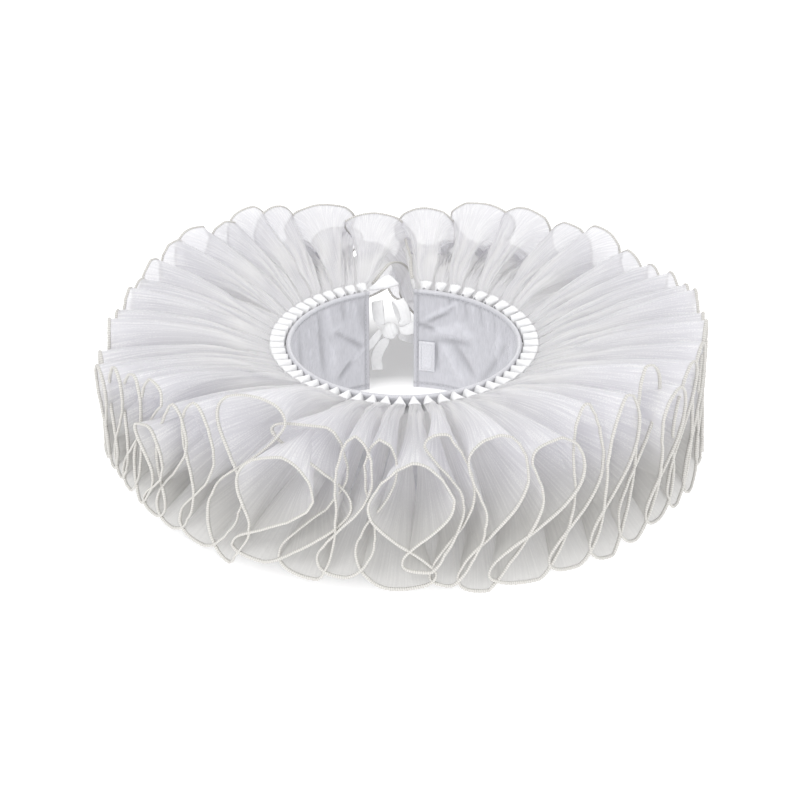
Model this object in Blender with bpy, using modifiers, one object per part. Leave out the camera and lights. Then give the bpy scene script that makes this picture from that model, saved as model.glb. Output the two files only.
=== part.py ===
"""Detachable ruff collar: a standing satin neckband, a pleated satin heading and one long organza ruffle.

Run with: blender --background --python part.py, or from Blender's text editor. Metres, +Z up.
The front of the collar faces -Y and the tied opening is at the back, +Y. It stands on its neckband.
"""
import math

import bmesh
import bpy
import numpy as np
from mathutils import Matrix, Vector

MM = 0.001

# Neckband: a standing satin band, open at the back
NECK_RADIUS = 60.0 * MM
BAND_WALL = 1.8 * MM
BAND_HEIGHT = 60.0 * MM
BAND_STEPS = 72
# Turns are degrees round the neck from the front, positive towards the wearer's left hand (+X)
OPENING_LEFT = -162.0
OPENING_RIGHT = 175.0

# Seams keep this much between two pieces
SEAM = 0.3 * MM

# Pleated satin heading: pinched at the band, opening into round mouths
HEADING_WALL = 0.8 * MM
HEADING_INNER = NECK_RADIUS + BAND_WALL + 1.5 * SEAM
HEADING_OUTER = 70.0 * MM
HEADING_INNER_HEIGHT = 57.0 * MM
HEADING_OUTER_HEIGHT = 59.0 * MM
HEADING_PINCH = 0.5 * MM
MOUTH_RISE = 4.0 * MM
# How far a pleat swells over its neighbours, as a share of a pleat
MOUTH_SWELL = 0.20
HEADING_ROWS = (0.0, 1.0)
HEADING_STEPS = 6
# The pleats are a little closer on the left, so those at the front sit this many degrees to the left
FRONT_SLIP = -10.0

# Organza ruffle: one strip set into upright figure-of-eight loops
RUFFLE_WALL = 1.0 * MM
RUFFLE_INNER = HEADING_OUTER + SEAM
TOP_HALF_WIDTH = 161.0 * MM
TOP_HALF_DEPTH = 142.0 * MM
FOOT_HALF_WIDTH = 158.0 * MM
FOOT_HALF_DEPTH = 156.0 * MM
# Bottom loops swell by this share of the room to the next one, and every loop is this much fuller than a sine
FOOT_SWELL = 0.28
LOOP_ROUND = 0.15
TOP_ARCH = 6.0 * MM
FOOT_SAG = 3.0 * MM
RUFFLE_ROWS = (0.0, 0.12, 0.45, 1.0)
RUFFLE_STEPS = (0.0, 0.12, 0.19, 0.25, 0.31, 0.38, 0.62, 0.69, 0.75, 0.81, 0.88)

# One row for each set of the ruffle, from the left of the opening round the front to its right.
# top_deg: turn of its top loop at the rim. top_mm: height of that loop over the table.
# swell_deg: how far the loop swells to each side. out_mm: how far it stands out from the rim's oval.
# foot_deg and foot_mm: the turn and height of the bottom loop that follows.
SET_COLUMNS = ("top_deg", "top_mm", "swell_deg", "out_mm", "foot_deg", "foot_mm")
SETS = (
    (-172.3, 77, 4.9, -16, -168.6, 5),
    (-165.6, 48, 1.0, -4, -163.5, 6),
    (-160.0, 79, 4.6, -2, -157.5, 4),
    (-155.3, 50, 0.9, 2, -153.5, 6),
    (-150.5, 78, 2.6, 1, -148.0, 3),
    (-145.0, 79, 2.2, 4, -142.0, 7),
    (-138.2, 76, 2.4, -1, -135.5, 2),
    (-131.5, 77, 2.3, 3, -129.0, 6),
    (-125.0, 75, 2.4, 0, -123.0, 9),
    (-120.5, 52, 1.0, -4, -118.5, 5),
    (-115.5, 75, 2.4, -6, -112.5, 4),
    (-108.5, 72, 2.0, -10, -105.0, 7),
    (-101.0, 76, 2.0, -12, -98.0, 3),
    (-94.5, 71, 1.9, -10, -91.0, 8),
    (-87.0, 76, 1.9, -8, -84.0, 5),
    (-80.0, 67, 1.8, -2, -77.5, 10),
    (-73.0, 69, 1.7, 3, -71.5, 13),
    (-67.0, 76, 1.7, 0, -66.5, 14),
    (-60.8, 79, 1.7, 0, -62.0, 13),
    (-55.8, 82, 1.2, 0, -57.5, 12),
    (-52.2, 62, 0.9, 3, -53.0, 11),
    (-48.8, 76, 1.1, 0, -47.5, 10),
    (-43.5, 81, 1.5, 0, -39.2, 9),
    (-31.0, 91, 3.4, -5, -33.0, 5),
    (-22.5, 70, 1.8, 9, -26.0, 11),
    (-16.3, 80, 1.7, -8, -16.0, 7),
    (-9.5, 81, 1.6, 0, -10.8, 10),
    (-4.8, 78, 1.5, 0, -1.8, 5),
    (2.2, 71, 2.0, 2, 4.8, 14),
    (8.0, 81, 2.2, 0, 8.5, 6),
    (19.0, 79, 3.4, 0, 15.2, 1),
    (30.5, 73, 2.4, 0, 24.8, 2),
    (37.5, 85, 1.8, 0, 32.8, 3),
    (46.2, 84, 1.8, 0, 41.2, 1),
    (52.8, 92, 1.7, -2, 47.2, 3),
    (59.0, 76, 1.7, 2, 54.0, 6),
    (66.0, 80, 1.8, 0, 61.0, 5),
    (73.5, 81, 1.9, -2, 68.5, 3),
    (80.5, 84, 1.9, -4, 76.0, 9),
    (87.5, 79, 1.9, -6, 84.0, 4),
    (94.5, 83, 1.9, -8, 91.5, 8),
    (101.0, 78, 1.8, -8, 99.0, 2),
    (107.5, 77, 1.8, -9, 106.5, 6),
    (114.0, 75, 1.8, -11, 113.0, 4),
    (121.0, 76, 2.4, -12, 122.0, 8),
    (127.5, 50, 1.0, -5, 129.5, 5),
    (133.5, 77, 2.9, -2, 136.0, 3),
    (140.5, 75, 2.8, -7, 143.0, 7),
    (146.5, 49, 1.0, -2, 148.5, 5),
    (152.2, 77, 3.9, -2, 154.5, 2),
    (157.0, 48, 0.9, -2, 159.0, 4),
    (162.5, 79, 4.4, -1, 165.0, 6),
    (167.3, 47, 0.9, -5, 169.5, 4),
    (174.5, 77, 5.4, -14, 179.0, 4),
)
# The strip's two ends: the loops that would come before the first row and after the last
BEFORE_FIRST = {"turn": -181.0, "height": 5 * MM}
AFTER_LAST = {"turn": 183.5, "height": 77 * MM}

# Ties: narrow satin ribbon, sewn to the band's ends and tied in a small bow
RIBBON_WIDTH = 6.0 * MM
RIBBON_WALL = 1.0 * MM
RIBBON_STEPS = 16
KNOT_TURN = -173.5
KNOT_RADIUS = 66.0 * MM
KNOT_HEIGHT = 32.0 * MM
KNOT_SIZE = (9.0 * MM, 7.0 * MM, 10.0 * MM)

# Patch sewn over a tie's inner end
PATCH_WIDTH = 9.0 * MM
PATCH_LOW = 11.0 * MM
PATCH_HIGH = 29.0 * MM
PATCH_WALL = 1.0 * MM
PATCH_FROM_EDGE = 3.0 * MM

SATIN_LILAC = (0.72, 0.71, 0.77)
SATIN_WHITE = (0.88, 0.88, 0.90)
ORGANZA = (0.84, 0.84, 0.83)


def around(turn, radius, height):
    """The point at a turn in degrees, a distance from the neck's axis and a height."""
    angle = np.radians(turn)
    return np.stack([radius * np.sin(angle), -radius * np.cos(angle), height + 0 * angle], axis=-1)


def material(name, colour, roughness):
    made = bpy.data.materials.new(name)
    made.use_nodes = True
    shader = made.node_tree.nodes["Principled BSDF"]
    shader.inputs["Base Color"].default_value = (*colour, 1.0)
    shader.inputs["Roughness"].default_value = roughness
    shader.inputs["Metallic"].default_value = 0.0
    return made


def add_object(name, mesh, finish, holder):
    mesh.materials.append(finish)
    piece = bpy.data.objects.new(name, mesh)
    COLLAR.objects.link(piece)
    piece.parent = holder
    return piece


def loop_knots():
    """The rim's loops in order, bottom and top by turns: turns, heights, swells, outs and which are tops."""
    rows = [dict(zip(SET_COLUMNS, row)) for row in SETS]
    knots = [(BEFORE_FIRST["turn"], BEFORE_FIRST["height"], 0.0, 0.0, 0.0)]
    for row in rows:
        knots.append((row["top_deg"], row["top_mm"] * MM, row["swell_deg"], row["out_mm"] * MM, 1.0))
        knots.append((row["foot_deg"], row["foot_mm"] * MM, 0.0, 0.0, 0.0))
    knots.append((AFTER_LAST["turn"], AFTER_LAST["height"], 0.0, 0.0, 1.0))
    return np.array(knots).T


def oval(turn, half_width, half_depth):
    """Distance from the neck's axis to an oval in the direction of a turn."""
    angle = np.radians(turn)
    return 1 / np.hypot(np.sin(angle) / half_width, np.cos(angle) / half_depth)


def between_loops(along):
    """For places along the strip, counted in sets: the loop before, how far past it, and the ease to the next."""
    place = (along + 0.25) * 2
    before = np.clip(np.floor(place).astype(int), 0, 2 * len(SETS))
    past = place - before
    ease = (1 - np.cos(math.pi * past)) / 2
    return before, past, ease


def rim_curve(along):
    """The hem of the ruffle: turn, distance from the axis, height and how near each point is to a top loop."""
    turns, heights, swells, outs, tops = loop_knots()
    before, past, ease = between_loops(along)
    after = before + 1

    def eased(values):
        return values[before] * (1 - ease) + values[after] * ease

    to_next = np.append(turns[2:] - turns[:-2], [turns[-1] - turns[-3]] * 2)
    from_last = np.append([turns[2] - turns[0]] * 2, turns[2:] - turns[:-2])
    swell_after = swells + FOOT_SWELL * to_next * (1 - tops)
    swell_before = swells + FOOT_SWELL * from_last * (1 - tops)
    swell = swell_after[before] * (1 - ease) + swell_before[after] * ease
    turn = eased(turns) + swell * np.sin(2 * math.pi * past)
    wave = np.cos(math.pi * past)
    wave = (1 + LOOP_ROUND) * wave - LOOP_ROUND * wave**3
    middle = (heights[before] + heights[after]) / 2
    height = middle + (heights[before] - heights[after]) / 2 * wave
    top_oval = oval(turn, TOP_HALF_WIDTH, TOP_HALF_DEPTH)
    foot_oval = oval(turn, FOOT_HALF_WIDTH, FOOT_HALF_DEPTH)
    topness = eased(tops)
    radius = foot_oval * (1 - topness) + top_oval * topness + eased(outs)
    return turn, radius, height, topness


def pleat_wave(pleat, rise, swell):
    """A pleat's round section, one wave to a pleat: its height and its sideways swell in pleats."""
    wave = np.sin(2 * math.pi * pleat)
    return rise * ((1 + LOOP_ROUND) * wave - LOOP_ROUND * wave**3), swell * np.sin(2 * math.pi * (2 * pleat + 0.5))


def neck_turn(pleat):
    """The turn at which a pleat, counted from the opening's left, meets the band."""
    share = pleat / len(SETS)
    return OPENING_LEFT + (OPENING_RIGHT - OPENING_LEFT) * share + FRONT_SLIP * np.sin(math.pi * share)


def heading_surface(pleat, out):
    """The middle of the satin heading, from the band to the pleats' mouths."""
    rise = HEADING_PINCH * (1 - out) + MOUTH_RISE * out
    lift, slip = pleat_wave(pleat, rise, MOUTH_SWELL * out)
    height = HEADING_INNER_HEIGHT * (1 - out) + HEADING_OUTER_HEIGHT * out + lift
    return around(neck_turn(pleat + slip), HEADING_INNER * (1 - out) + HEADING_OUTER * out + 0 * pleat, height)


def ruffle_surface(along, out):
    """The middle of the ruffle's cloth. along counts sets round the rim, out goes from the neck to the rim."""
    lift, slip = pleat_wave(along, MOUTH_RISE * (1 - out), MOUTH_SWELL * (1 - out))
    rim_turn, rim_radius, rim_height, topness = rim_curve(along)
    turn = neck_turn(along + slip) * (1 - out) + rim_turn * out
    radius = RUFFLE_INNER * (1 - out) + rim_radius * out
    bow = 4 * out * (1 - out)
    height = HEADING_OUTER_HEIGHT * (1 - out) + lift + rim_height * out
    height = height + bow * (TOP_ARCH * topness - FOOT_SAG * (1 - topness))
    return around(turn, radius, np.maximum(height, RUFFLE_WALL / 2))


def wall_from_surface(surface, columns, rows, wall, square_rows):
    """Two sheets of points, half a wall to each side of a surface. Rows in square_rows end square to the radius."""
    step = 1e-4
    along, out = np.meshgrid(columns, rows)
    middle = surface(along, out)
    across = surface(along + step, out) - surface(along - step, out)
    outward = surface(along, out + step) - surface(along, out - step)
    normal = np.cross(across, outward)
    radial = middle * (1, 1, 0)
    radial /= np.linalg.norm(radial, axis=-1, keepdims=True)
    for row in square_rows:
        lean = (normal[row] * radial[row]).sum(axis=-1, keepdims=True)
        normal[row] -= lean * radial[row]
    normal /= np.linalg.norm(normal, axis=-1, keepdims=True)
    sheets = [middle + normal * wall / 2, middle - normal * wall / 2]
    for sheet in sheets:
        sheet[..., 2] = np.maximum(sheet[..., 2], 0.0)
    return sheets


def loft_wall(name, sheets):
    """One closed wall between two sheets of points: its two faces and the strip round their edges."""
    front, back = sheets
    rows, columns = front.shape[:2]
    made = bmesh.new()
    points = [[[made.verts.new(p) for p in line] for line in sheet] for sheet in (front, back)]
    edge = [(0, c) for c in range(columns)] + [(r, columns - 1) for r in range(1, rows)]
    edge += [(rows - 1, c) for c in range(columns - 2, -1, -1)] + [(r, 0) for r in range(rows - 2, 0, -1)]
    for r in range(rows - 1):
        for c in range(columns - 1):
            square = [(r, c), (r, c + 1), (r + 1, c + 1), (r + 1, c)]
            made.faces.new([points[0][i][j] for i, j in square])
            made.faces.new([points[1][i][j] for i, j in reversed(square)])
    for (i, j), (k, m) in zip(edge, edge[1:] + edge[:1]):
        made.faces.new([points[0][i][j], points[1][i][j], points[1][k][m], points[0][k][m]])
    bmesh.ops.triangulate(made, faces=made.faces[:], quad_method="SHORT_EDGE")
    bmesh.ops.recalc_face_normals(made, faces=made.faces[:])
    mesh = bpy.data.meshes.new(name)
    made.to_mesh(mesh)
    made.free()
    mesh.shade_smooth()
    return mesh


def add_ruffle(finish, holder):
    columns = np.append((np.arange(len(SETS))[:, None] + RUFFLE_STEPS).ravel(), len(SETS))
    sheets = wall_from_surface(ruffle_surface, columns, np.array(RUFFLE_ROWS), RUFFLE_WALL, (0,))
    return add_object("ruffle", loft_wall("ruffle", sheets), finish, holder)


def add_heading(finish, holder):
    columns = np.arange(len(SETS) * HEADING_STEPS + 1) / HEADING_STEPS
    sheets = wall_from_surface(heading_surface, columns, np.array(HEADING_ROWS), HEADING_WALL, (0, -1))
    return add_object("pleated_heading", loft_wall("pleated_heading", sheets), finish, holder)


def add_neckband(finish, holder):
    """A plain upright line, screwed round the neck and thickened outwards."""
    mesh = bpy.data.meshes.new("neckband")
    start = around(OPENING_LEFT, NECK_RADIUS, 0.0)
    mesh.from_pydata([(*start[:2], 0.0), (*start[:2], BAND_HEIGHT)], [(0, 1)], [])
    band = add_object("neckband", mesh, finish, holder)
    turned = band.modifiers.new("Round the neck", "SCREW")
    turned.angle = math.radians(OPENING_RIGHT - OPENING_LEFT)
    turned.steps = turned.render_steps = BAND_STEPS
    turned.merge_threshold = 1e-5
    turned.use_normal_flip = True
    wall = band.modifiers.new("Satin layers", "SOLIDIFY")
    wall.thickness = BAND_WALL
    wall.offset = 1.0
    return band


def smooth_path(places, steps):
    """Points on a smooth curve through these places."""
    places = np.array(places, float)
    ends = np.concatenate([[2 * places[0] - places[1]], places, [2 * places[-1] - places[-2]]])
    points = []
    for share in np.linspace(0, len(places) - 1, steps + 1):
        first = min(int(share), len(places) - 2)
        t = share - first
        a, b, c, d = ends[first : first + 4]
        points.append(0.5 * (2 * b + (c - a) * t + (2 * a - 5 * b + 4 * c - d) * t**2 + (3 * b - a - 3 * c + d) * t**3))
    return np.array(points)


def ribbon_mesh(name, places, widths):
    """A flat ribbon along a path. widths names the directions across it, one to a place, eased between."""
    path = smooth_path(places, RIBBON_STEPS)
    across = smooth_path(widths, RIBBON_STEPS)
    across /= np.linalg.norm(across, axis=-1, keepdims=True)
    bpy.ops.mesh.primitive_grid_add(x_subdivisions=2, y_subdivisions=RIBBON_STEPS, size=1)
    grid = bpy.context.object
    mesh = grid.data
    bpy.data.objects.remove(grid)
    mesh.name = name
    for vertex in mesh.vertices:
        row = round((vertex.co.y + 0.5) * RIBBON_STEPS)
        vertex.co = path[row] + across[row] * vertex.co.x * RIBBON_WIDTH
    mesh.shade_smooth()
    return mesh


def add_ribbon(name, places, widths, finish, holder):
    ribbon = add_object(name, ribbon_mesh(name, places, widths), finish, holder)
    wall = ribbon.modifiers.new("Ribbon", "SOLIDIFY")
    wall.thickness = RIBBON_WALL
    wall.offset = 0.0
    return ribbon


def tie_places():
    """Places along each ribbon, in millimetres from the knot's middle: to the right, back and up."""
    upright = (0, 0, 1)
    level = (1, 0, 0.2)
    slanted = (0.6, 0.3, 1)
    return {
        "bow_loop_left": (
            [(-5.6, -1, 4), (-9, -1.5, 8), (-11.5, 0, 14), (-11.5, 2.5, 17), (-11, 5, 14), (-9, 5, 8), (-6.2, 3, 4)],
            [level] * 7,
        ),
        "bow_loop_right": (
            [(6.0, -1, 4), (8.5, -1.5, 8), (7, 0, 14), (4.5, 2.5, 17), (4, 5, 14), (5.5, 5, 8), (6.4, 3, 4.5)],
            [level] * 7,
        ),
        "tie_tail_left": (
            [(-2, 1.2, -5.4), (-5, 2.5, -11), (-7.5, 3.5, -18), (-7, 3.5, -26)],
            [level] * 4,
        ),
        "tie_tail_right": (
            [(4.9, 1.5, -3), (8.5, 3.2, -5), (12, 5, -7), (16, 6.5, -10)],
            [upright, slanted, slanted, slanted],
        ),
    }


def add_ties(finish, holder):
    knot = Vector(around(KNOT_TURN, KNOT_RADIUS, KNOT_HEIGHT))
    bpy.ops.mesh.primitive_uv_sphere_add(segments=16, ring_count=10, radius=0.5)
    ball = bpy.context.object
    mesh = ball.data
    bpy.data.objects.remove(ball)
    mesh.name = "tie_knot"
    mesh.transform(Matrix.Diagonal((*KNOT_SIZE, 1.0)))
    mesh.shade_smooth()
    made = add_object("tie_knot", mesh, finish, holder)
    made.location = knot
    for name, (places, widths) in tie_places().items():
        add_ribbon(name, [knot + Vector(p) * MM for p in places], widths, finish, holder)
    outer = NECK_RADIUS + BAND_WALL + SEAM + RIBBON_WALL / 2
    half = KNOT_SIZE[0] / 2 + SEAM + RIBBON_WALL / 2
    for name, turns, side, height in (
        ("tie_left", (-156.0, -158.5, -161.0), -1, 25.0 * MM),
        ("tie_right", (169.0, 171.5, 174.0), 1, 36.0 * MM),
    ):
        sewn = [Vector(around(turn, outer, height)) for turn in turns]
        end = knot + Vector((side * half, 0, 0))
        middle = (sewn[-1] + end) / 2 + Vector((0, 0.5, -1.0)) * MM
        add_ribbon(name, sewn + [middle, end], [(0, 0, 1)] * 5, finish, holder)


def add_patch(finish, holder):
    """A small square of satin on the band's inner face, made from the band's own radius, moved in."""
    radius = NECK_RADIUS - SEAM - PATCH_WALL
    start = OPENING_RIGHT - math.degrees(PATCH_FROM_EDGE / NECK_RADIUS)
    turn = math.degrees(PATCH_WIDTH / NECK_RADIUS)
    mesh = bpy.data.meshes.new("sewn_patch")
    corner = around(start - turn, radius, 0.0)
    mesh.from_pydata([(*corner[:2], PATCH_LOW), (*corner[:2], PATCH_HIGH)], [(0, 1)], [])
    patch = add_object("sewn_patch", mesh, finish, holder)
    turned = patch.modifiers.new("Round the band", "SCREW")
    turned.angle = math.radians(turn)
    turned.steps = turned.render_steps = 4
    turned.merge_threshold = 1e-5
    turned.use_normal_flip = True
    wall = patch.modifiers.new("Satin", "SOLIDIFY")
    wall.thickness = PATCH_WALL
    wall.offset = 1.0
    return patch


def main():
    for old in list(bpy.data.objects):
        bpy.data.objects.remove(old)
    bpy.context.scene.collection.children.link(COLLAR)
    holder = bpy.data.objects.new("neck_axis", None)
    COLLAR.objects.link(holder)
    lining = material("lilac_satin", SATIN_LILAC, 0.42)
    white = material("white_satin", SATIN_WHITE, 0.38)
    sheer = material("white_organza", ORGANZA, 0.55)
    add_neckband(lining, holder)
    add_heading(white, holder)
    ruffle = add_ruffle(sheer, holder)
    add_ties(white, holder)
    add_patch(lining, holder)
    corners = np.array([vertex.co for vertex in ruffle.data.vertices])
    middle = (corners.min(axis=0) + corners.max(axis=0)) / 2
    holder.location = (-middle[0], -middle[1], 0.0)


COLLAR = bpy.data.collections.new("Ruff collar")
main()
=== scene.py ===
"""Detachable ruff collar: the looks of its satin neckband, pleated heading, organza ruffle and ribbon ties.

Laid out as an add-on and run as a script. Metres, +Z up. The collar's front faces -Y and its tied opening is
at the back. Turns are degrees round the neck from the front, positive towards the wearer's left hand (+X).
"""
import math

import bpy
import numpy as np
from bpy.props import FloatProperty, FloatVectorProperty, PointerProperty
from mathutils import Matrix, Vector


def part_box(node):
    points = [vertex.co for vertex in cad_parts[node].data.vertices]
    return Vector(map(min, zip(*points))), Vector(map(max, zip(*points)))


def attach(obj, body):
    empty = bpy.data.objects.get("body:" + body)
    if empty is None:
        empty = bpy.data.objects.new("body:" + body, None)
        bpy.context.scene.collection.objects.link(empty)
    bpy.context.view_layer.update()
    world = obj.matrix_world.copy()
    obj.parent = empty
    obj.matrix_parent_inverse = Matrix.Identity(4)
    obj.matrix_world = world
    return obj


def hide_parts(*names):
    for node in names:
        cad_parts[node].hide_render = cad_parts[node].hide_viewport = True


bl_info = {
    "name": "Detachable Ruff Collar",
    "version": (1, 0, 0),
    "blender": (4, 5, 0),
    "location": "View3D > Sidebar > Ruff Collar",
    "description": "A satin neckband with a pleated heading, a long organza ruffle and a tied ribbon bow",
    "category": "Add Mesh",
}

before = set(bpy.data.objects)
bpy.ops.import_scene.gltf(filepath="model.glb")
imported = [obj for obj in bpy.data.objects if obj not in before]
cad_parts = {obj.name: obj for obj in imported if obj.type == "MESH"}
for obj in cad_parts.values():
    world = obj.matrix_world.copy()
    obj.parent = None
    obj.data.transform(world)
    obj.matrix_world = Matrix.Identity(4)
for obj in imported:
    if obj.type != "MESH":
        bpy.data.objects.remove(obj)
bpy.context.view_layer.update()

MM = 0.001

# Neckband
NECK_RADIUS = 60.0 * MM
BAND_WALL = 1.8 * MM
BAND_HEIGHT = 60.0 * MM
OPENING_LEFT = -162.0
OPENING_RIGHT = 175.0
BAND_COLUMNS = 300
BAND_ROWS = 56
EDGE_ROUND = 0.9 * MM
FOLDS_OUTSIDE = 0.35
LEAST_EDGE = 0.04
SEAM = 0.3 * MM
TOP_HEM_STAND = 1.3 * MM
# How far from the band's edges its stitches run, and how far each stitch stands off the lining
TOP_SEAM = 2.4 * MM
FOOT_SEAM = 3.0 * MM
END_SEAM = 2.1 * MM
END_SEAM_TURN = 2.0
STITCH_PITCH = 3.0 * MM
STITCH_LENGTH = 2.2 * MM
STITCH_THICK = 0.45 * MM
STITCH_STAND = 0.05 * MM

# Pleated heading
HEADING_WALL = 0.8 * MM
HEADING_INNER = NECK_RADIUS + BAND_WALL + 1.5 * SEAM
HEADING_OUTER = 70.0 * MM
HEADING_INNER_HEIGHT = 57.4 * MM
HEADING_OUTER_HEIGHT = 57.6 * MM
HEADING_PINCH = 3.0 * MM
RIDGE_NARROW = 1.5
MOUTH_NARROW = 0.65
MOUTH_RISE = 2.9 * MM
MOUTH_SWELL = 0.26
FRONT_SLIP = -10.0
HEADING_STEPS = 24
HEADING_ROWS = 9
HEADING_CLOTH_MM = (18.0, 8.0)
END_FOLD_EDGE = ((-18.8, 62.0, 58.2), (-10.4, 66.0, 57.2), (-3.0, 69.0, 57.8))
END_FOLD_CREST = ((-18.6, 62.8, 59.4), (-9.0, 72.0, 62.4), (-2.8, 69.6, 58.4))

# Ruffle
RUFFLE_INNER = HEADING_OUTER + SEAM
TOP_HALF_WIDTH = 161.0 * MM
TOP_HALF_DEPTH = 142.0 * MM
FOOT_HALF_WIDTH = 158.0 * MM
FOOT_HALF_DEPTH = 156.0 * MM
FOOT_SWELL = 0.42
HEAD_ROUND = -0.2
TOP_ARCH = 6.0 * MM
FRONT_ARCH = 9.0 * MM
BACK_ARCH = 26.0 * MM
STRIP_START = -0.2
GATHERS_PER_SET = 7
GATHER_START = 0.25
ROW_SPREAD = 1.15
RUFFLE_STEPS = 64
RUFFLE_ROWS = 26
CLOTH_CLEAR = 0.5 * MM
HEM_SIDES = 6
HEM_STEP = 1.3 * MM
HEM_PULSE = 2.6 * MM
# Heights below which the front loops are denser cloth with painted shade, fading out by the second height
LOW_FROM = 28 * MM
LOW_TO = 64 * MM
FLARE_REACH = 3.0
FRONT_OPENING = 0.8
BACK_OPENING = 0.55

# One row for each set of the ruffle, from the left of the opening round the front to its right.
# top_deg: turn of its top loop at the rim. top_mm: height of that loop over the table.
# swell_deg: how far the loop swells to each side. out_mm: how far it stands out from the rim's oval.
# foot_deg and foot_mm: the turn and height of the bottom loop that follows.
# top_before to foot_after: degrees by which the cut edge flares past that, before and after each loop.
# top_cross and foot_cross: how late the edge crosses over after each loop, early where negative. Where a
# row leaves them out they are 0.
SET_COLUMNS = (
    *("top_deg", "top_mm", "swell_deg", "out_mm", "foot_deg", "foot_mm"),
    *("top_before", "top_after", "foot_before", "foot_after", "top_cross", "foot_cross"),
)
SETS = (
    (-172.3, 75, 5.4, -16, -168.6, 5, 1, 1.2, 0.5, 0.5, -0.14, 0),
    (-165.6, 57, 2.7, 6, -163.5, 6, 2.6, 3.1, 0.5, 0.5),
    (-160, 76, 5.6, -2, -157.5, 4, 3.6, 2, 0.5, 0.5),
    (-155.3, 51, 2.7, 8, -153.5, 6, 2.6, 3.1, 0.5, 0.5),
    (-150.5, 78, 3.2, 0, -148, 3, 1, 1.2, 0.8, 0.5),
    (-145, 79, 2.6, 4, -142, 7, 1.5, 2.2, 0.5, 0.8),
    (-138.2, 76, 2.4, -1, -135.5, 2, 1.8, 2.2, 0.8, 0.8),
    (-131.5, 77, 2.3, 3, -129, 6, 1.5, 3, 0.6, 0.8),
    (-125, 75, 2.4, 0, -123, 9, 1, 1.6, 0.8, 0.8),
    (-120.5, 52, 1, 2, -118.5, 5, 2, 2.4, 0.8, 0.8),
    (-115.5, 75, 2.4, -6, -112.5, 4, 1.2, 1.4, 1, 0.8),
    (-108.5, 72, 2, -10, -105, 7, 1, 1.2, 0.8, 1),
    (-101, 76, 2, -12, -98, 3, 1.2, 0.8, 1, 0.8),
    (-94.5, 71, 1.9, -10, -91, 8, 0.8, 1.2, 0.9, 1),
    (-87, 76, 1.9, -8, -84, 5, 1.2, 1, 0.8, 0.9),
    (-80, 67, 1.8, -2, -77.5, 10, 1, 1, 1, 1),
    (-73, 69, 1.7, 3, -71.5, 13, 1, 1.2, 0.8, 1),
    (-67, 76, 1.7, 0, -66.5, 14, 1, 1.2, 0.8, 0.6),
    (-60.8, 79, 1.7, -2, -62, 13, 1.8, 1.4, 1.4, 1, 0.10, 0.05),
    (-55.8, 82, 1.2, -3, -57.5, 12, 0.6, 3, 1.4, 1, -0.10, 0.10),
    (-52.2, 62, 0.9, 6, -53, 11, 3.8, 2.8, 1.4, 1, 0.14, -0.08),
    (-48.8, 76, 1.1, -1, -47.5, 10, 1.2, 2.4, 2.4, 1.6, 0.06, 0.10),
    (-43.5, 81, 1.5, -2, -39.2, 9, 0.6, 1.6, 2.8, 2, 0.12, 0.08),
    (-31, 91, 3.4, -7, -33, 5, 4.8, 3.8, 4, -3, -0.14, -0.12),
    (-22.5, 70, 1.8, 9, -26, 11, 7, 5.4, 4, 8, 0.15, 0.18),
    (-16.3, 80, 1.7, -8, -16, 7, 9.5, 2.4, 3.6, -0.5, 0.10, -0.05),
    (-9.5, 81, 1.6, 0, -10.8, 10, 0.6, 1.8, 3.2, 1, 0.08, 0.05),
    (-4.8, 78, 1.5, -3, -1.8, 5, 0.2, 0.8, 3.8, 4.4, -0.05, -0.12),
    (2.2, 71, 2, 7, 4.8, 14, 5.8, 4.6, 2.2, 4.4, 0.17, 0.17),
    (8, 81, 2.2, -3, 8.5, 6, 1.6, 4, 2.2, -0.5, 0.19, 0.05),
    (19, 79, 3.4, 0, 15.2, 1, 2.6, 2.8, 3.2, -1.6, 0.06, 0.12),
    (30.5, 73, 2.4, 2, 24.8, 2, 2.6, 3, 6.6, 1.6, 0.08, 0.17),
    (37.5, 85, 1.8, -3, 32.8, 3, -0.6, 2.4, 3, 0.4, 0.12, 0.10),
    (46.2, 84, 1.8, 0, 41.2, 1, -1, 1.8, 2.8, 0.2, 0.05, 0.12),
    (52.8, 92, 1.7, -4, 47.2, 3, -1, 3.4, 2.6, 0.4, -0.05, 0.10),
    (59, 76, 1.7, 4, 54, 6, 1.6, 1.8, 1.8, 1, 0.10, -0.06),
    (66, 80, 1.8, 0, 61, 5, 1.2, 1.8, 1.6, 1.2, -0.08, 0.10),
    (73.5, 81, 1.9, -2, 68.5, 3, 0.8, 1.4, 1.2, 0.8),
    (80.5, 84, 1.9, -4, 76, 9, 0.8, 1.4, 1, 0.8),
    (87.5, 79, 1.9, -6, 84, 4, 1, 1.2, 1, 0.8),
    (94.5, 83, 1.9, -8, 91.5, 8, 1, 1.2, 0.9, 1),
    (101, 78, 1.8, -8, 99, 2, 1.2, 1, 1, 0.8),
    (107.5, 77, 1.8, -9, 106.5, 6, 1, 1.2, 1, 1),
    (114, 75, 1.8, -11, 113, 4, 1.2, 1, 0.8, 1),
    (121, 76, 2.4, -12, 122, 8, 1.4, 1, 0.8, 0.8),
    (127.5, 50, 1, 3, 129.5, 5, 3.6, 4, 0.8, 0.6),
    (133.5, 77, 2.9, -2, 136, 3, 2.6, 1, 0.6, 0.6),
    (140.5, 75, 3.4, -5, 143, 7, 2, 1.2, 0.5, 0.5),
    (146.5, 50, 2.7, 6, 148.5, 5, 3, 3.2, 0.5, 0.5),
    (152.2, 77, 4.6, -2, 154.5, 2, 1.8, 1, 0.5, 0.5),
    (157, 49, 2.7, 6, 159, 4, 2.6, 3.2, 0.5, 0.5),
    (162.5, 76, 5.2, -1, 165, 6, 3.2, 1.8, 0.5, 0.5),
    (167.3, 48, 2.7, 7, 169.5, 4, 3, 3.4, 0.5, 0.5),
    (174.5, 77, 5.4, -14, 179, 4, 2, 2, 0.5, 0.5),
)
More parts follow.
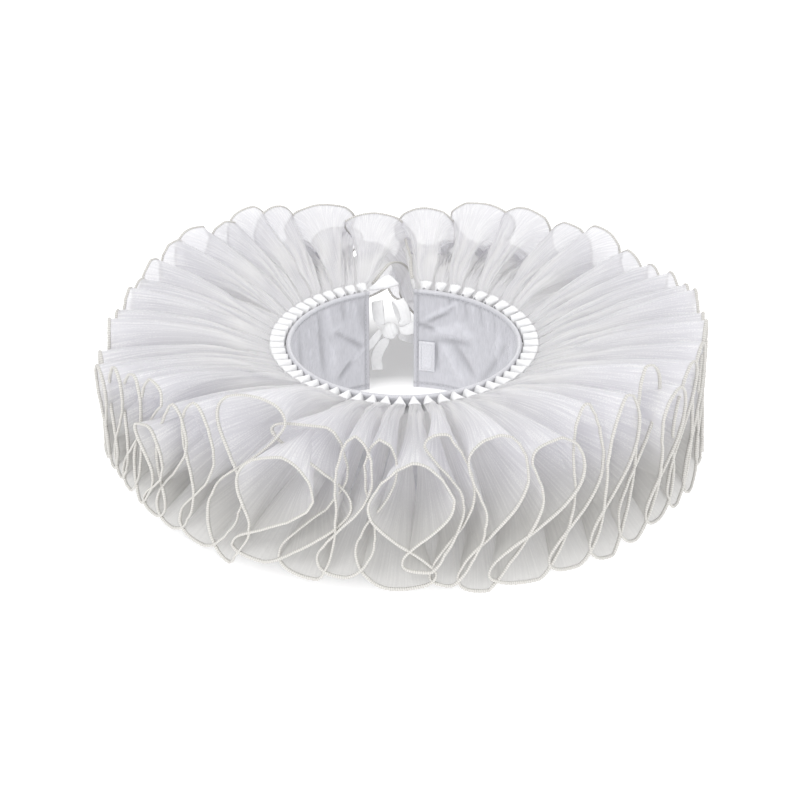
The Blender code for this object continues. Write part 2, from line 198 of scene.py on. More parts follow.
BEFORE_FIRST = {"turn": -194.0, "height": 5 * MM, "out": -34 * MM}
AFTER_LAST = {"turn": 183.5, "height": 77 * MM}

# Folds in the neckband's lining: where each starts and ends round the neck and up the band, how far it
# stands in towards the neck (a trough is negative), and how wide it is.
FOLD_COLUMNS = ("from_deg", "from_mm", "to_deg", "to_mm", "stand_mm", "width_mm")
LINING_FOLDS = (
    *((173, 39, 163, 36, -1, 1.6), (163, 36, 143, 38, 1.4, 3), (163, 30, 144, 32, -0.7, 2)),
    *((169, 43, 158, 50, 0.8, 1.4), (158, 50, 151, 56, 0.9, 1.2), (168, 40, 156, 48, -0.7, 1.2)),
    *((163, 29, 162, 13, -0.7, 1.2), (159, 28, 148, 10, 1, 2.6), (153, 30, 141, 14, -0.8, 2.2)),
    *((157, 41, 146, 42, 0.5, 3), (161, 57, 160, 49, 0.6, 0.9), (156, 57, 155, 49, -0.6, 0.9)),
    *((152, 57, 151, 48, 0.6, 0.9), (147, 57, 146, 46, -0.6, 1), (142, 57, 141, 47, 0.7, 1)),
    *((138, 57, 136, 46, -0.6, 1), (133, 57, 131, 45, 0.7, 1), (128, 57, 126, 46, -0.5, 1)),
    *((122, 49, 124, 30, 0.7, 3), (117, 43, 137, 10, -0.7, 2.5), (108, 50, 112, 18, 0.6, 3.5)),
    *((97, 57, 99, 40, -0.6, 1.4), (88, 40, 96, 12, 0.7, 2.6), (-127, 57, -130, 46, 1.1, 0.9)),
    *((-122, 50, -124, 27, 1, 1.1), (-131, 55, -134, 19, -0.8, 2), (-149, 57, -150, 51, 0.8, 0.8)),
    *((-153, 57, -154, 49, 0.8, 0.8), (-146, 56, -148, 45, -0.6, 1.2), (-142, 40, -149, 34, -0.7, 1.3)),
    *((-149, 34, -158, 27, -0.9, 1.6), (-160, 27, -152, 20, 0.9, 1.4), (-152, 20, -144, 11, -0.9, 1.6)),
    *((-141, 42, -144, 43, 0.7, 1.2), (-136, 57, -139, 42, 0.6, 2.5), (-157, 55, -159, 37, -0.5, 3)),
    *((-139, 33, -141, 16, 0.5, 4), (-113, 52, -116, 22, -0.7, 2.4), (-106, 57, -107, 44, 0.7, 1)),
    *((-98, 48, -104, 12, 0.6, 2.8), (-88, 56, -90, 30, -0.6, 1.8), (-76, 50, -66, 14, 0.8, 2.6)),
    *((-62, 57, -61, 46, -0.6, 1.1), (-54, 57, -55, 45, 0.7, 1.1), (-46, 40, -34, 12, -0.7, 2.2)),
    *((-30, 52, -22, 30, 0.8, 2.4), (-14, 57, -13, 44, -0.6, 1.2), (-6, 30, 10, 12, 0.7, 2.8)),
    *((4, 57, 3, 46, 0.7, 1), (14, 57, 15, 42, -0.6, 1.3), (26, 48, 36, 16, 0.7, 2.6)),
    *((40, 57, 39, 45, 0.6, 1), (52, 44, 60, 10, -0.7, 2.4), (66, 57, 65, 43, 0.6, 1.2)),
    (78, 52, 74, 20, 0.6, 3),
)

# Cloth and thread
# Painted light: a near-white colour for the ruffle's gather valleys and the insides of its low loops,
# standing in for light that passes through the layers
ORGANZA_PAINTED_FOLD_LIGHT = (0.995, 0.99, 0.985)
# Painted sheen: a paler colour along the organza's fibre streaks
ORGANZA_PAINTED_STREAK_SHEEN = (0.98, 0.98, 0.985)
# Painted highlight: the colour of the small glints on the organza's fibres
ORGANZA_PAINTED_GLINT = (1.0, 1.0, 1.0)
STREAK_COVER = 0.04
STREAK_DEPTH = 0.13 * MM
THREAD_DEPTH = 0.05 * MM
SHARE_THROUGH = 0.56
# Painted shade in the grooves between a thread's turns, as a share of its colour
THREAD_SHADE = 0.76
HEM_THREAD_MM = 1.15
SEWING_THREAD_MM = 0.5
PATCH_COLOUR = (0.82, 0.82, 0.855)
PATCH_THREAD_COLOUR = (0.9, 0.9, 0.93)

# Ribbons
RIBBON_WIDTH = 6.0 * MM
RIBBON_CLOTH = 0.45 * MM
RIBBON_STEPS = 72
RIBBON_ACROSS = 10
RIBBON_PINCH = 0.35
KNOT_TURN = -173.5
KNOT_RADIUS = 66.0 * MM
KNOT_HEIGHT = 32.0 * MM
KNOT_SIZE = (9.0 * MM, 7.0 * MM, 10.0 * MM)

# Patch
PATCH_WIDTH = 9.0 * MM
PATCH_LOW = 11.0 * MM
PATCH_HIGH = 29.0 * MM
PATCH_WALL = 1.0 * MM
PATCH_FROM_EDGE = 3.0 * MM
PATCH_SEAM = 1.5 * MM
PATCH_STITCHES_MM = (0.9, 1.7)

# The photograph's camera
CAMERA_ELEVATION = 28.6
CAMERA_DISTANCE = 1.5
CAMERA_LENS = 128.25
LOOK_LEFT = 2.1 * MM
LOOK_UP = 21.6 * MM

# The stage's lamps: each one's place, its side and its share of the key lamp's power
LAMPS = {
    "key_lamp": ((-0.9, -0.7, 1.5), 0.9, 1.0),
    "fill_lamp": ((1.3, -0.2, 1.0), 1.2, 0.45),
    "front_lamp": ((0.1, -1.5, 0.62), 1.2, 0.42),
    "back_lamp": ((0.1, 1.3, 0.7), 1.0, 0.27),
}
LAMP_TARGET = (0, 0, 0.04)
FLOOR_SIDES = 64
FLOOR_REACH = 9.0
FLOOR_DROP = 0.2 * MM
# The floor's glow is painted light that hides the collar's shadow beyond the rim and inside the neck, turned
# down under the ruffle as a painted shadow. It runs from one strength to another between two distances from
# the neck's axis
NECK_GLOW = (0.4, 0.0, NECK_RADIUS, 74 * MM)
RIM_GLOW = (0.26, 0.88, 125 * MM, 158 * MM)


def around(turn, radius, height):
    """The point at a turn in degrees, a distance from the neck's axis and a height."""
    angle = np.radians(turn)
    return np.stack([radius * np.sin(angle), -radius * np.cos(angle), height + 0 * angle], axis=-1)


def unit(vectors):
    return vectors / np.linalg.norm(vectors, axis=-1, keepdims=True)


def square_to(runs, vectors):
    """The directions of vectors, less what runs along unit vectors."""
    return unit(vectors - (vectors * runs).sum(axis=-1, keepdims=True) * runs)


def round_neck(turn):
    """How far a turn runs along the neckband's inner face."""
    return turn * math.radians(1) * NECK_RADIUS


def from_opening(turn):
    """How many degrees a turn is from the nearer end of the neckband."""
    return np.minimum(turn - OPENING_LEFT, OPENING_RIGHT - turn)


def inward(places):
    """The level directions from places on the band towards the neck's axis."""
    return -unit(places * (1, 1, 0))


def smooth_step(low, high, value):
    share = np.clip((value - low) / (high - low), 0, 1)
    return share * share * (3 - 2 * share)


def bell(away, width):
    return np.exp(-((away / width) ** 2))


def uneven(along, seed, rate):
    """A smooth uneven wave from -1 to 1, with about rate turns to each unit of along."""
    draw = np.random.default_rng(seed)
    total = 0 * along
    for share in (0.61, 1.0, 1.73):
        total = total + np.sin(2 * math.pi * (rate * share * along + draw.random()))
    return total / 3


def neck_axis():
    """Where the neck's axis meets the table in the row frame, found from the knot."""
    low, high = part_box("tie_knot")
    place = (np.array(low) + np.array(high)) / 2 - around(KNOT_TURN, KNOT_RADIUS, KNOT_HEIGHT)
    return Vector((place[0], place[1], 0.0))


AXIS = neck_axis()


# Meshes


def grid_faces(rows, columns, start=0):
    index = start + np.arange(rows * columns).reshape(rows, columns)
    corners = [index[:-1, :-1], index[:-1, 1:], index[1:, 1:], index[1:, :-1]]
    return np.stack(corners, axis=-1).reshape(-1, 4)


def mesh_of(name, points, faces, notes=None):
    """A mesh in the row frame from points round the neck's axis. notes are numbers kept at each point."""
    mesh = bpy.data.meshes.new(name)
    points = np.asarray(points).reshape(-1, 3) + np.array(AXIS)
    mesh.from_pydata(points.tolist(), [], [tuple(int(i) for i in face) for face in faces])
    for key, values in (notes or {}).items():
        values = np.asarray(values, np.float32)
        flat = values.ndim > 1 and values.shape[-1] == 3
        layer = mesh.attributes.new(key, "FLOAT_VECTOR" if flat else "FLOAT", "POINT")
        layer.data.foreach_set("vector" if flat else "value", values.ravel())
    mesh.validate()
    mesh.shade_smooth()
    return mesh


def wall_mesh(name, front, back, notes=None):
    """One closed wall between two grids of points: its two faces and the strip round their edges."""
    rows, columns = front.shape[:2]
    count = rows * columns
    index = np.arange(count).reshape(rows, columns)
    edge = np.concatenate([index[0, :-1], index[:-1, -1], index[-1, :0:-1], index[:0:-1, 0]])
    rim = np.stack([edge, edge + count, np.roll(edge, -1) + count, np.roll(edge, -1)], axis=-1)
    faces = np.concatenate([grid_faces(rows, columns), grid_faces(rows, columns, count)[:, ::-1], rim])
    points = np.concatenate([front.reshape(-1, 3), back.reshape(-1, 3)])
    notes = {k: np.concatenate([np.reshape(v, (count, -1))] * 2).squeeze() for k, v in (notes or {}).items()}
    return mesh_of(name, points, faces, notes)


def tube_rings(centre, side, up, half_side, half_up, sides):
    """Rings of points round a path, an oval at each centre."""
    turn = np.arange(sides) * 2 * math.pi / sides
    wide = np.asarray(half_side).reshape(-1, 1, 1) * np.cos(turn)[None, :, None]
    tall = np.asarray(half_up).reshape(-1, 1, 1) * np.sin(turn)[None, :, None]
    return centre[:, None] + side[:, None] * wide + up[:, None] * tall


def tube_faces(rings, sides, start=0):
    """Quads along one tube and a cap at each end."""
    index = start + np.arange(rings * sides).reshape(rings, sides)
    after = np.roll(index, -1, axis=1)
    quads = np.stack([index[:-1], after[:-1], after[1:], index[1:]], axis=-1).reshape(-1, 4)
    return [*quads, index[0, ::-1], index[-1]]


# A stitch from end to end: place along it, thickness and lift off the cloth, as shares of its size
STITCH_SHAPE = ((-0.5, 0.3, -0.4), (-0.34, 0.9, 0.1), (0.0, 1.0, 0.35), (0.34, 0.9, 0.1), (0.5, 0.3, -0.4))
STITCH_SIDES = 6


def stitch_mesh(name, centres, runs, length, thick):
    """A run of small thread stitches, each a slim rounded piece lying on the cloth's inner face."""
    runs = unit(runs)
    side = unit(np.cross(runs, inward(centres)))
    up = unit(np.cross(side, runs))
    place, size, lift = np.array(STITCH_SHAPE).T
    each = np.ones((len(place), 1))
    half = size * thick / 2
    points, faces = [], []
    for n, centre in enumerate(centres):
        path = centre + runs[n] * (place[:, None] * length) + up[n] * (lift[:, None] * thick * 0.5)
        faces += tube_faces(len(place), STITCH_SIDES, len(points) * len(place) * STITCH_SIDES)
        points.append(tube_rings(path, each * side[n], each * up[n], half, half, STITCH_SIDES).reshape(-1, 3))
    return mesh_of(name, np.concatenate(points), faces)


def cloth_places(across, along):
    """Places in the cloth's own millimetres, for a mesh to note."""
    across, along = np.broadcast_arrays(across, along)
    return np.stack([across, along, 0 * across], axis=-1)


def add_object(name, data):
    made = bpy.data.objects.new(name, data)
    bpy.context.scene.collection.objects.link(made)
    return made


def show(mesh, finish, stands_for=()):
    """Adds a piece that rides on the collar's one body, in place of the solids it stands for."""
    mesh.materials.append(finish)
    piece = add_object(mesh.name, mesh)
    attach(piece, "root")
    if stands_for:
        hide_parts(*stands_for)
    return piece


# Shape of the ruffle and its heading


def loop_knots():
    """The rim's loops in order, bottom and top by turns: each one's turn, height, swell, out, whether it is a
    top, how far its cut edge flares before and after it, and how late the edge then crosses over."""
    knots = [(BEFORE_FIRST["turn"], BEFORE_FIRST["height"], 0.0, BEFORE_FIRST["out"], 0.0, 0.0, 0.0, 0.0)]
    for row in SETS:
        loop = dict(zip(SET_COLUMNS, (*row, 0, 0)))
        for end, rest in (("top", (loop["swell_deg"], loop["out_mm"] * MM, 1.0)), ("foot", (0.0, 0.0, 0.0))):
            flare = (loop[end + key] for key in ("_before", "_after", "_cross"))
            knots.append((loop[end + "_deg"], loop[end + "_mm"] * MM, *rest, *flare))
    knots.append((AFTER_LAST["turn"], AFTER_LAST["height"], 0.0, 0.0, 1.0, 0.0, 0.0, 0.0))
    return np.array(knots).T


def oval(turn, half_width, half_depth):
    """Distance from the neck's axis to an oval in the direction of a turn."""
    angle = np.radians(turn)
    return 1 / np.hypot(np.sin(angle) / half_width, np.cos(angle) / half_depth)


def rim_curve(along):
    """The hem of the ruffle: turn, distance from the axis, height, how near each point is to a top loop, and
    the turn by which the cut edge flares."""
    turns, heights, swells, outs, tops, flares_before, flares_after, crosses = loop_knots()
    place = (along + 0.25) * 2
    before = np.clip(np.floor(place).astype(int), 0, 2 * len(SETS))
    past = place - before
    ease = (1 - np.cos(math.pi * past)) / 2
    after = before + 1
    chance = np.random.default_rng(4).uniform(-1, 1, len(crosses))
    over = past - 4 * (crosses + 0.05 * chance)[before] * past * (1 - past)

    def eased(values):
        return values[before] * (1 - ease) + values[after] * ease

    to_next = np.append(turns[2:] - turns[:-2], [turns[-1] - turns[-3]] * 2)
    from_last = np.append([turns[2] - turns[0]] * 2, turns[2:] - turns[:-2])
    swell_after = swells + FOOT_SWELL * to_next * (1 - tops)
    swell_before = swells + FOOT_SWELL * from_last * (1 - tops)
    swell = swell_after[before] * (1 - ease) + swell_before[after] * ease
    turn = eased(turns) + swell * np.sin(2 * math.pi * over)
    wave = np.cos(math.pi * past)
    wave = (1 + HEAD_ROUND) * wave - HEAD_ROUND * wave**3
    middle = (heights[before] + heights[after]) / 2
    height = middle + (heights[before] - heights[after]) / 2 * wave
    top_oval = oval(turn, TOP_HALF_WIDTH, TOP_HALF_DEPTH)
    foot_oval = oval(turn, FOOT_HALF_WIDTH, FOOT_HALF_DEPTH)
    topness = eased(tops)
    radius = foot_oval * (1 - topness) + top_oval * topness + eased(outs)
    flare = (flares_after[before] * (1 - ease) + flares_before[after] * ease) * np.sin(2 * math.pi * over)
    return turn, radius, height, topness, flare


def ridge(pleat, narrow):
    """A pleat's section from -1 in the valley to 1 on the ridge, which narrows as narrow grows past 1."""
    return 2 * ((1 + np.sin(2 * math.pi * pleat)) / 2) ** narrow - 1


def mouth_slip(pleat, swell):
    """The sideways swell of a pleat's round mouth, in pleats."""
    return swell * np.sin(2 * math.pi * (2 * pleat + 0.5))


def neck_turn(pleat):
    """The turn at which a pleat, counted from the opening's left, meets the band."""
    share = pleat / len(SETS)
    return OPENING_LEFT + (OPENING_RIGHT - OPENING_LEFT) * share + FRONT_SLIP * np.sin(math.pi * share)


def heading_surface(pleat, out):
    """The middle of the satin heading, whose ridges are narrow at the band and open to round mouths."""
    slip = mouth_slip(pleat, MOUTH_SWELL * out)
    pinch = HEADING_PINCH * (1 - out) * ridge(pleat, RIDGE_NARROW)
    lift = pinch + MOUTH_RISE * out * ridge(pleat, MOUTH_NARROW)
    height = HEADING_INNER_HEIGHT * (1 - out) + HEADING_OUTER_HEIGHT * out + lift
    radius = HEADING_INNER * (1 - out) + HEADING_OUTER * out + 0 * pleat
    return around(neck_turn(pleat + slip), radius, height)


def ruffle_surface(along, out):
    """The middle of the ruffle's cloth. along counts sets, out goes from 0 at the neck to 1 at the rim."""
    slip = mouth_slip(along, MOUTH_SWELL * (1 - out))
    lift = MOUTH_RISE * (1 - out) * ridge(along, MOUTH_NARROW)
    rim_turn, rim_radius, rim_height, topness, flare = rim_curve(along)
    back = smooth_step(105.0, 150.0, np.abs(rim_turn))
    far = np.clip(out, 0, None)
    opened = far ** (FRONT_OPENING * (1 - back) + BACK_OPENING * back)
    turn = neck_turn(along + slip) * (1 - opened) + rim_turn * opened + flare * far**FLARE_REACH
    radius = RUFFLE_INNER * (1 - out) + rim_radius * out
    bow = 4 * out * (1 - out)
    height = HEADING_OUTER_HEIGHT * (1 - out) + lift + rim_height * out
    foot_arch = FRONT_ARCH * (1 - back) + BACK_ARCH * back
    height = height + bow * (TOP_ARCH * topness + foot_arch * (1 - topness))
    return around(turn, radius, height)


def run_along(line):
    """How far each point of a line lies from its start."""
    return np.append(0, np.cumsum(np.linalg.norm(np.diff(line, axis=0), axis=-1)))


def surface_frame(surface, along, out):
    """A surface's points with its directions along, outwards and square to the cloth."""
    step = 1e-4
    middle = surface(along, out)
    across = unit(surface(along + step, out) - surface(along - step, out))
    outward = unit(surface(along, out + step) - surface(along, out - step))
    return middle, across, outward, unit(np.cross(across, outward))


def gathers(along, out):
    """Depth of the small crisp folds where the strip is drawn up into the heading."""
    cloth = bpy.context.scene.ruff_cloth
    wander = 0.05 * uneven(out + 0 * along, 5, 1.1)
    turns = GATHERS_PER_SET * (along + wander) + 0.9 * uneven(along, 3, 1.4)
    fold = np.arcsin(np.sin(2 * math.pi * turns)) * 2 / math.pi
    size = GATHER_START + (1 - GATHER_START) * smooth_step(0.0, 0.25, out)
    fade = 1 - smooth_step(0.25, 0.7, out)
    return cloth.gather_depth * fold * size * fade * (0.75 + 0.25 * uneven(along, 8, 2.3))


def creases(along, out):
    """Depth of the long creases that fan out over the loops."""
    cloth = bpy.context.scene.ruff_cloth
    wander = 0.04 * uneven(out + 0 * along, 12, 0.8) * uneven(along, 13, 0.7)
    wave = uneven(along + wander, 17, 6.2)
    fold = 2 * np.abs(wave) ** 0.7 - 0.8
    reach = smooth_step(0.12, 0.45, out) * (1 - 0.45 * smooth_step(0.85, 1.0, out))
    return cloth.crease_depth * fold * reach * (0.6 + 0.4 * uneven(along, 21, 1.9))


def ruffle_cloth(along, out):
    """The ruffle's cloth with its gathers and creases, kept clear of the table."""
    middle, _, _, normal = surface_frame(ruffle_surface, along, out)
    points = middle + normal * (gathers(along, out) + creases(along, out))[..., None]
    points[..., 2] = np.maximum(points[..., 2], CLOTH_CLEAR)
    return points


# Finishes


def node(tree, kind, inputs=None, output=0, **settings):
    """One output of a new shader node, its inputs set to numbers or joined to sockets."""
    made = tree.nodes.new("ShaderNode" + kind)
    for key, value in settings.items():
        setattr(made, key, value)
    for key, value in (inputs or {}).items():
        if isinstance(value, bpy.types.NodeSocket):
            tree.links.new(value, made.inputs[key])
        else:
            made.inputs[key].default_value = value
    return made.outputs[output] if made.outputs else None


def new_finish(name):
    made = bpy.data.materials.new(name)
    made.use_nodes = True
    made.node_tree.nodes.clear()
    return made, made.node_tree


def noted(tree, name, output="Fac"):
    """What a mesh notes at its points under this name."""
    return node(tree, "Attribute", None, output, attribute_name=name)


def reckon(tree, first, second, operation="ADD"):
    return node(tree, "Math", {0: first, 1: second}, operation=operation)


def cloth_noise(tree, across_mm, along_mm, detail):
    """Noise in the cloth's own millimetres, drawn out to these sizes across and along it."""
    place = noted(tree, "cloth_mm", "Vector")
    place = node(tree, "Mapping", {0: place, 3: (1 / across_mm, 1 / along_mm, 1.0)})
    return node(tree, "TexNoise", {"Vector": place, "Scale": 1.0, "Detail": detail})


def between(tree, share, low, high, from_low=0.0, from_high=1.0):
    """A number that runs from low to high as share runs from from_low to from_high."""
    inputs = {"Value": share, "From Min": from_low, "From Max": from_high, "To Min": low, "To Max": high}
    return node(tree, "MapRange", inputs)


def mix_colours(tree, share, *colours):
    first, second = (c if isinstance(c, bpy.types.NodeSocket) else (*c, 1.0) for c in colours)
    return node(tree, "Mix", {0: share, 6: first, 7: second}, 2, data_type="RGBA")


def bumps(tree, *heights):
    """One bump on another. Each is a height socket and its depth in metres."""
    normal = None
    for height, depth in heights:
        under = {"Normal": normal} if normal else {}
        normal = node(tree, "Bump", {"Height": height, "Distance": depth, "Strength": 1.0, **under})
    return normal


def cloth_shader(tree, colour, roughness, specular, sheen, normal):
    inputs = {"Base Color": colour, "Roughness": roughness, "Specular IOR Level": specular}
    return node(tree, "BsdfPrincipled", {**inputs, "Sheen Weight": sheen, "Normal": normal})


def organza_finish():
    """Sheer white organza: thin at the rim, dense where it is drawn up, with a fibrous sheen partly painted
    as paler streaks and white glints, painted light in its deep folds and painted shade on its low front
    loops.
    """
    cloth = bpy.context.scene.ruff_cloth
    finish, tree = new_finish("organza")
    dense = noted(tree, "density")
    streaks = cloth_noise(tree, 1.3, 34.0, 3.0)
    threads = cloth_noise(tree, 0.35, 4.0, 1.0)
    colour = mix_colours(tree, dense, cloth.rim_colour, cloth.neck_colour)
    # Painted light: the deep gather valleys and loop insides are lifted towards near-white
    colour = mix_colours(tree, noted(tree, "deep"), colour, ORGANZA_PAINTED_FOLD_LIGHT)
    # Painted sheen: a paler colour along the same streaks that bump the cloth and vary its cover, which are
    # real texture
    colour = mix_colours(tree, between(tree, streaks, 0.0, 0.2, 0.45, 0.8), colour, ORGANZA_PAINTED_STREAK_SHEEN)
    # Painted highlights: white glints where fine noise meets the streaks
    painted_glints = reckon(tree, cloth_noise(tree, 0.5, 1.1, 1.0), streaks, "MULTIPLY")
    colour = mix_colours(tree, between(tree, painted_glints, 0.0, 0.85, 0.26, 0.35), colour, ORGANZA_PAINTED_GLINT)
    # Painted shade: the low front loops are darkened towards the foot shade colour
    colour = mix_colours(tree, between(tree, noted(tree, "low"), 0.0, 0.85), colour, cloth.foot_shade_colour)
    cover = between(tree, dense, cloth.rim_cover, cloth.neck_cover)
    cover = reckon(tree, cover, between(tree, streaks, -STREAK_COVER, STREAK_COVER, 0.3, 0.7))
    normal = bumps(tree, (streaks, STREAK_DEPTH), (threads, THREAD_DEPTH))
    front = cloth_shader(tree, colour, 0.36, 0.45, 0.25, normal)
    through = node(tree, "BsdfTranslucent", {"Color": colour, "Normal": normal})
    lit = node(tree, "MixShader", {0: SHARE_THROUGH, 1: front, 2: through})
    sheer = node(tree, "MixShader", {0: cover, 1: node(tree, "BsdfTransparent"), 2: lit})
    node(tree, "OutputMaterial", {0: sheer})
    return finish


def thread_finish(name, colour, pitch_mm):
    """Twisted polyester thread, wound over the edge in close turns."""
    finish, tree = new_finish(name)
    turns = reckon(tree, noted(tree, "thread_mm"), 2 * math.pi / pitch_mm, "MULTIPLY")
    # Painted shade: each turn of thread is darker in the groove between turns and full colour on its crest,
    # in step with its bump
    share = between(tree, node(tree, "Math", {0: turns}, operation="SINE"), 0.0, 1.0, -1.0, 1.0)
    base = mix_colours(tree, share, [c * THREAD_SHADE for c in colour], colour)
    normal = bumps(tree, (share, 0.15 * MM))
    node(tree, "OutputMaterial", {0: cloth_shader(tree, base, 0.5, 0.35, 0.2, normal)})
    return finish


def satin_finish(name, colour, roughness, crumple_mm, crumple_depth, deep_shade=1.0):
    """Smooth satin: a soft gloss with fine crumples, slubs in the weave and a little change of shade, painted
    darker in the crumples' hollows and lighter on their crests.
    deep_shade is how light the cloth stays in the painted shade down in its folds, where the mesh notes them
    as "shade"."""
    finish, tree = new_finish(name)
    crumple = cloth_noise(tree, crumple_mm, crumple_mm * 2.2, 3.0)
    slubs = cloth_noise(tree, 0.3, 5.0, 1.0)
    # Painted shade and light: the same noise that bumps the crumples darkens their hollows and lightens their
    # crests
    deep = [c * 0.93 for c in colour]
    pale = [min(1.0, c * 1.05) for c in colour]
    base = mix_colours(tree, between(tree, crumple, 0.0, 1.0, 0.3, 0.7), deep, pale)
    if deep_shade < 1:
        base = mix_colours(tree, noted(tree, "shade"), base, [c * deep_shade for c in colour])
    gloss = between(tree, slubs, roughness - 0.06, roughness + 0.08, 0.3, 0.7)
    normal = bumps(tree, (crumple, crumple_depth), (slubs, THREAD_DEPTH))
    node(tree, "OutputMaterial", {0: cloth_shader(tree, base, gloss, 0.5, 0.15, normal)})
    return finish


# Sizes and colours that a user would change


def colour_property(name, description, default):
    limits = {"size": 3, "min": 0.0, "max": 1.0}
    return FloatVectorProperty(name=name, description=description, default=default, subtype="COLOR", **limits)


def number_property(name, description, default, **limits):
    return FloatProperty(name=name, description=description, default=default, **limits)


def length_property(name, description, default):
    return number_property(name, description, default, unit="LENGTH")


def share_property(name, description, default, most=1.0):
    return number_property(name, description, default, subtype="FACTOR", min=0, max=most)


class RuffClothSettings(bpy.types.PropertyGroup):
    """Sizes and colours of the organza ruffle"""

    gather_depth: length_property("Gather depth", "Half the depth of the folds near the heading", 1.3 * MM)
    crease_depth: length_property("Crease depth", "Depth of the long creases over the loops", 1.3 * MM)
    hem_width: length_property("Hem width", "Width of the overlocked edge", 1.8 * MM)
    hem_thickness: length_property("Hem thickness", "Thickness of the overlocked edge", 1.3 * MM)
    rim_cover: share_property("Cover at the rim", "How much one layer hides at the rim", 0.82)
    neck_cover: share_property("Cover at the neck", "How much the gathered cloth hides", 0.97)
    rim_colour: colour_property("Rim colour", "Colour of one layer of organza", (0.835, 0.83, 0.86))
    neck_colour: colour_property("Neck colour", "Colour of the gathered organza", (0.955, 0.95, 0.94))
    # Painted shade: the low front loops are darkened towards this colour, where less light reaches them
    foot_shade_colour: colour_property("Foot colour", "Colour of the low, overlapping loops", (0.65, 0.643, 0.62))
    thread_colour: colour_property("Hem thread", "Colour of the overlocking thread", (0.72, 0.705, 0.67))


class RuffSatinSettings(bpy.types.PropertyGroup):
    """Colours of the satin pieces and the size of the lining's folds"""

    lining_colour: colour_property("Lining", "Colour of the neckband's lilac satin", (0.725, 0.725, 0.765))
    heading_colour: colour_property("Heading", "Colour of the pleated heading", (0.90, 0.90, 0.91))
    ribbon_colour: colour_property("Ribbons", "Colour of the ties and the bow", (0.99, 0.99, 0.99))
    sewing_colour: colour_property("Sewing thread", "Colour of the stitches on the band", (0.70, 0.70, 0.74))
    fold_scale: share_property("Lining folds", "How deep the lining's folds are", 1.5, 2.0)


class RuffStageSettings(bpy.types.PropertyGroup):
    """Floor and light round the collar"""

    floor_colour: colour_property("Floor", "Colour of the plain floor", (0.5, 0.5, 0.5))
    room_light: number_property("Room light", "Brightness of the even light", 0.7, min=0)
    key_light: number_property("Key light", "Power of the large soft lamp", 12.0, unit="POWER", min=0)


# Neckband and patch


def fold_stand(turn, height):
    """How far the lining's folds stand in towards the neck."""
    place = np.stack([round_neck(turn), height], axis=-1)
    total = 0 * turn
    for row in LINING_FOLDS:
        fold = dict(zip(FOLD_COLUMNS, row))
        start = np.array([round_neck(fold["from_deg"]), fold["from_mm"] * MM])
        run = np.array([round_neck(fold["to_deg"]), fold["to_mm"] * MM]) - start
        share = np.clip(((place - start) @ run) / (run @ run), 0, 1)
        nearest = start + share[..., None] * run
        away = np.linalg.norm(place - nearest, axis=-1) / (0.75 * fold["width_mm"] * MM)
        taper = 0.35 + 0.65 * np.sin(math.pi * share) ** 0.6
        total = total + fold["stand_mm"] * MM * np.exp(-(away**2)) * taper
    return total


def lining_radius(turn, height):
    """Distance from the axis to the neckband's inner face."""
    stand = fold_stand(turn, height) * bpy.context.scene.ruff_satin.fold_scale
    edge = smooth_step(0.0, 3.0 * MM, height) * smooth_step(0.0, 3.5 * MM, BAND_HEIGHT - height)
    below = BAND_HEIGHT - 3.5 * MM - height
    pucker = 0.3 * MM * np.sin(2 * math.pi * (round_neck(turn) / MM) / 3.1)
    pucker = pucker * bell(below, 2.2 * MM)
    hem = TOP_HEM_STAND * smooth_step(BAND_HEIGHT - 4.0 * MM, BAND_HEIGHT - 1.2 * MM, height)
    end = smooth_step(0.0, 3.0, from_opening(turn))
    return NECK_RADIUS - stand * (0.25 + 0.75 * edge) * end - pucker - hem


